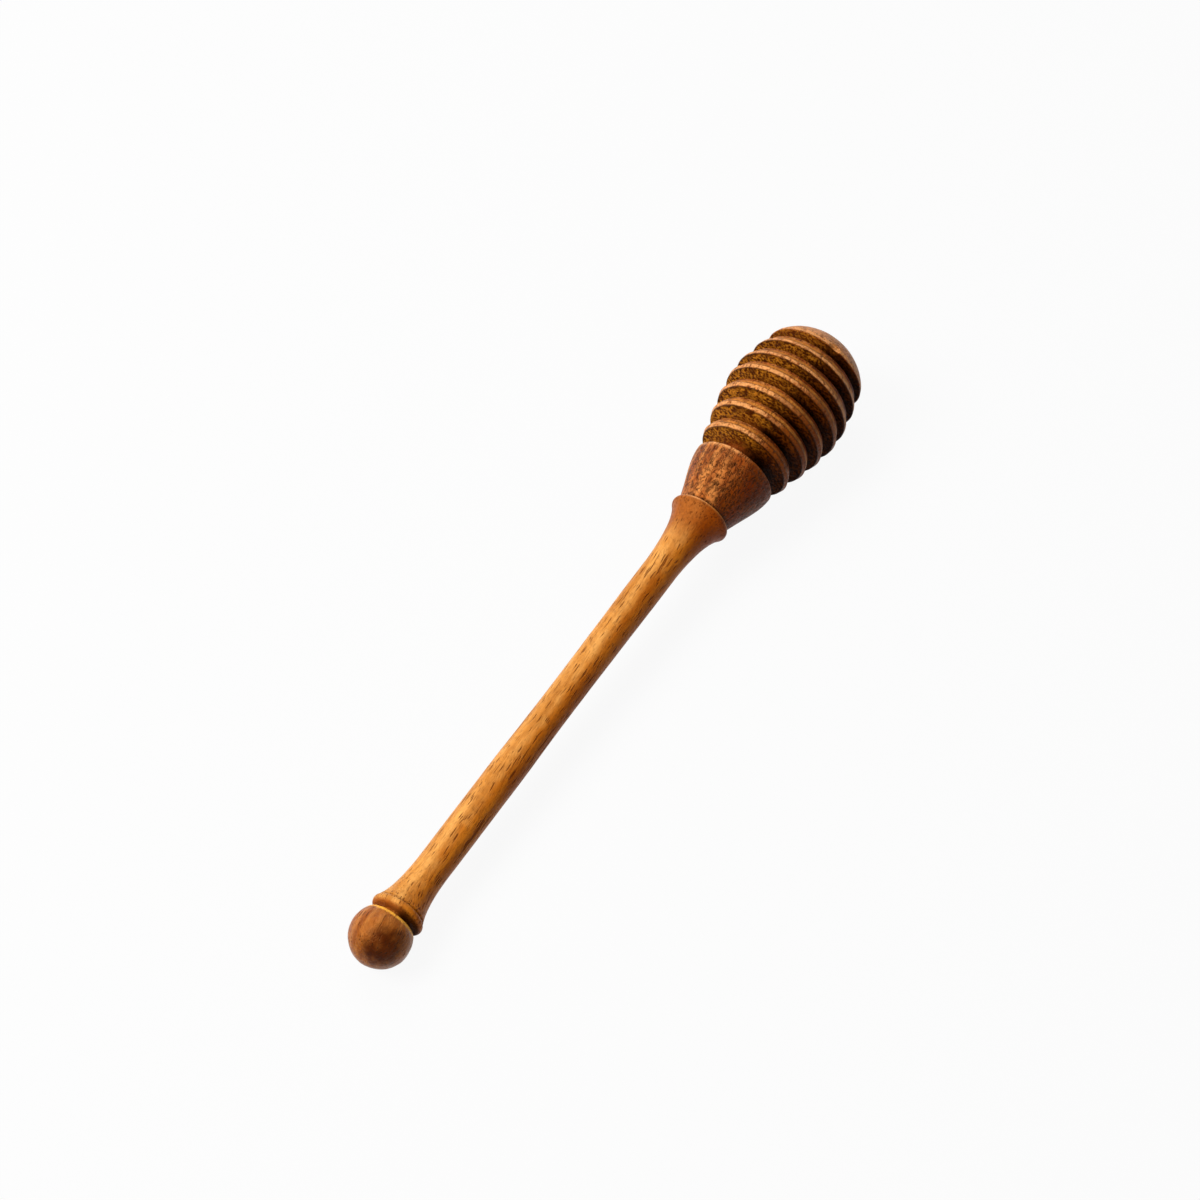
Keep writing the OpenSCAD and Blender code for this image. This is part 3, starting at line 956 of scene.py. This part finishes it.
@dataclass(frozen=True)
class Studio:
    """Floor, soft lights and camera. Lengths are in metres, and picture places in its 1200 pixels."""

    picture_px: float = 1200.0
    focal_px: float = 4800.0
    ball_px: tuple[float, float] = (380.59, 936.56)
    ball_distance: float = 0.96
    elevation: float = 54.48
    heading: float = 32.99
    sensor: float = 36.0
    floor_size: float = 6.0
    floor_white: float = 0.5
    light_size: float = 0.5
    light_distance: float = 0.9
    key_power: float = 9.8
    top_power: float = 4.2
    world_level: float = 0.08

    def axes(self) -> tuple[Vector, Vector, Vector]:
        """The camera's right, up and forward directions."""
        e, h = math.radians(self.elevation), math.radians(self.heading)
        right = Vector((math.sin(h), -math.cos(h), 0.0))
        forward = Vector((math.cos(e) * math.cos(h), math.cos(e) * math.sin(h), -math.sin(e)))
        return right, right.cross(forward), forward

    def camera(self, ball: Vector) -> None:
        """Sets the camera so that the ball falls on its place in the picture.

        Args:
            ball: Centre of the ball.
        """
        right, up, forward = self.axes()
        aside = (self.ball_px[0] - self.picture_px / 2) / self.focal_px * self.ball_distance
        raised = (self.picture_px / 2 - self.ball_px[1]) / self.focal_px * self.ball_distance
        bpy.ops.object.camera_add()
        camera = bpy.context.active_object
        camera.name = "photo_view"
        camera.location = ball - forward * self.ball_distance - right * aside - up * raised
        camera.rotation_euler = Matrix((right, up, -forward)).transposed().to_euler()
        camera.data.sensor_width = self.sensor
        camera.data.lens = self.sensor * self.focal_px / self.picture_px
        camera.data.clip_end = 20.0
        bpy.context.scene.camera = camera

    def softbox(self, name: str, towards: Vector, power: float) -> None:
        """Hangs a square softbox.

        Args:
            name: Name of the light.
            towards: Direction from the dipper to the light.
            power: Power in watts.
        """
        bpy.ops.object.light_add(type="AREA", location=towards.normalized() * self.light_distance)
        light = bpy.context.active_object
        light.name = name
        light.rotation_euler = towards.to_track_quat("Z", "Y").to_euler()
        light.data.size = self.light_size
        light.data.energy = power

    def floor(self) -> None:
        """Lays the plain white floor, which keeps a faint shadow in the picture."""
        bpy.ops.mesh.primitive_plane_add(size=self.floor_size, location=(0.0, 0.0, 0.0))
        floor = bpy.context.active_object
        floor.name = "studio_floor"
        material = bpy.data.materials.new("matt white paper")
        material.use_nodes = True
        tree = material.node_tree
        tree.nodes.clear()
        level = self.floor_white
        paper = add_node(tree, "ShaderNodeBsdfDiffuse", {}, {"Color": (level, level, level, 1.0)})
        white = add_node(tree, "ShaderNodeEmission", {}, {"Color": (1.0, 1.0, 1.0, 1.0), "Strength": 1.0})
        seen = self._seen(tree)
        amount = add_node(tree, "ShaderNodeMath", {"operation": "MULTIPLY"}, {0: seen, 1: 0.93})
        mixed = add_node(tree, "ShaderNodeMixShader", {},
                         {0: amount.outputs[0], 1: paper.outputs[0], 2: white.outputs[0]})
        add_node(tree, "ShaderNodeOutputMaterial", {}, {"Surface": mixed.outputs[0]})
        floor.data.materials.append(material)

    def world(self) -> None:
        """Fills the room with weak white light, which looks white to the camera and in reflections."""
        world = bpy.data.worlds.new("white room")
        bpy.context.scene.world = world
        world.use_nodes = True
        tree = world.node_tree
        tree.nodes.clear()
        strength = add_node(tree, "ShaderNodeMapRange", {},
                            {"Value": self._seen(tree), "To Min": self.world_level, "To Max": 1.0})
        light = add_node(tree, "ShaderNodeBackground", {},
                         {"Color": (1.0, 1.0, 1.0, 1.0), "Strength": strength.outputs[0]})
        add_node(tree, "ShaderNodeOutputWorld", {}, {"Surface": light.outputs[0]})

    @staticmethod
    def _seen(tree: bpy.types.NodeTree) -> bpy.types.NodeSocket:
        """1 for what is seen, straight, in gloss or in glass, and 0 for light that falls on a surface."""
        path = add_node(tree, "ShaderNodeLightPath")
        seen = path.outputs["Is Camera Ray"]
        for ray in ("Is Glossy Ray", "Is Transmission Ray"):
            seen = add_node(tree, "ShaderNodeMath", {"operation": "MAXIMUM"},
                            {0: seen, 1: path.outputs[ray]}).outputs[0]
        return seen

    def build(self, lie: Lie) -> None:
        """Builds the whole studio round the dipper."""
        right, up, forward = self.axes()
        self.camera(lie.ball_centre)
        self.softbox("key_softbox", right * -0.622 + up * 0.328 - forward * 0.709, self.key_power)
        self.softbox("top_softbox", right * -0.2 + up * 0.93 - forward * 0.3, self.top_power)
        self.floor()
        self.world()
        bpy.context.scene.view_settings.view_transform = "Standard"


# Each wood darkens the side turned away from the key light as painted shade, and keeps a copy of its edge colour
# in that shade
HEAD_WOOD = Wood(
    name="oiled dark acacia, open-pored",
    light="#cc8040", dark="#84421a", warm="#b4500c", pore="#2c0e02",
    end_light="#dc8a24", end_dark="#562404", edge="#e49c5c", edge_and_band_in_shade="#84400e", band="#e4903c",
    line="#120500", stain="#7c3810", painted_shade=(0.42, 0.25, 0.08),
    pore_len=1.3, pore_w=0.28, pore_share=0.35, hair_depth=0.3, wrinkle_len=1.5, wrinkle_w=0.75,
    wrinkle_depth=0.75, ring_gap=3.1, seed=2.0, roughness=0.42, specular=0.18, relief=0.24)
HANDLE_WOOD = Wood(
    name="oiled golden acacia, satin",
    light="#de9c50", dark="#b8742e", warm="#c67c2c", pore="#5a2604",
    end_light="#b86a28", end_dark="#74380f", edge="#f0a460", edge_and_band_in_shade="#c07428", band="#b8752c",
    line="#240c02", stain="#9c5018", painted_shade=(0.84, 0.56, 0.16),
    pore_len=3.2, pore_w=0.25, pore_share=0.5, hair_depth=0.4, crack_len=16.0, crack_w=0.34,
    crack_share=0.3, crack_depth=0.9, wrinkle_len=2.6, wrinkle_w=0.8,
    wrinkle_depth=0.18, ring_gap=3.4, seed=5.0, roughness=0.42)
KNOB_WOOD = Wood(
    name="oiled reddish acacia, satin",
    light="#b06c30", dark="#88440f", warm="#a0540c", pore="#3c1804",
    end_light="#b06a1c", end_dark="#6e360c", edge="#f4ac3c", edge_and_band_in_shade="#d08424", band="#b8752c",
    line="#240c02", stain="#7a421c", painted_shade=(0.2, 0.09, 0.03), painted_shade_side=(-0.57, -0.57, 0.59),
    painted_shade_border=(0.6, 1.0), pore_len=1.8, pore_w=0.3, pore_share=0.35, hair_depth=0.3,
    wrinkle_len=2.8, wrinkle_w=1.2, wrinkle_depth=0.25, ring_gap=2.2, seed=9.0, roughness=0.34,
    specular=0.32, relief=0.09)


def main() -> None:
    """Builds the studio and the three pieces."""
    logging.basicConfig(level=logging.INFO, format="%(name)s: %(message)s")
    lie = Lie.from_frame(frame)
    Studio().build(lie)
    BallKnob().build(lie, KNOB_WOOD)
    Handle().build(lie, HANDLE_WOOD)
    DipperHead().build(lie, HEAD_WOOD)


if __name__ == "__main__":
    main()
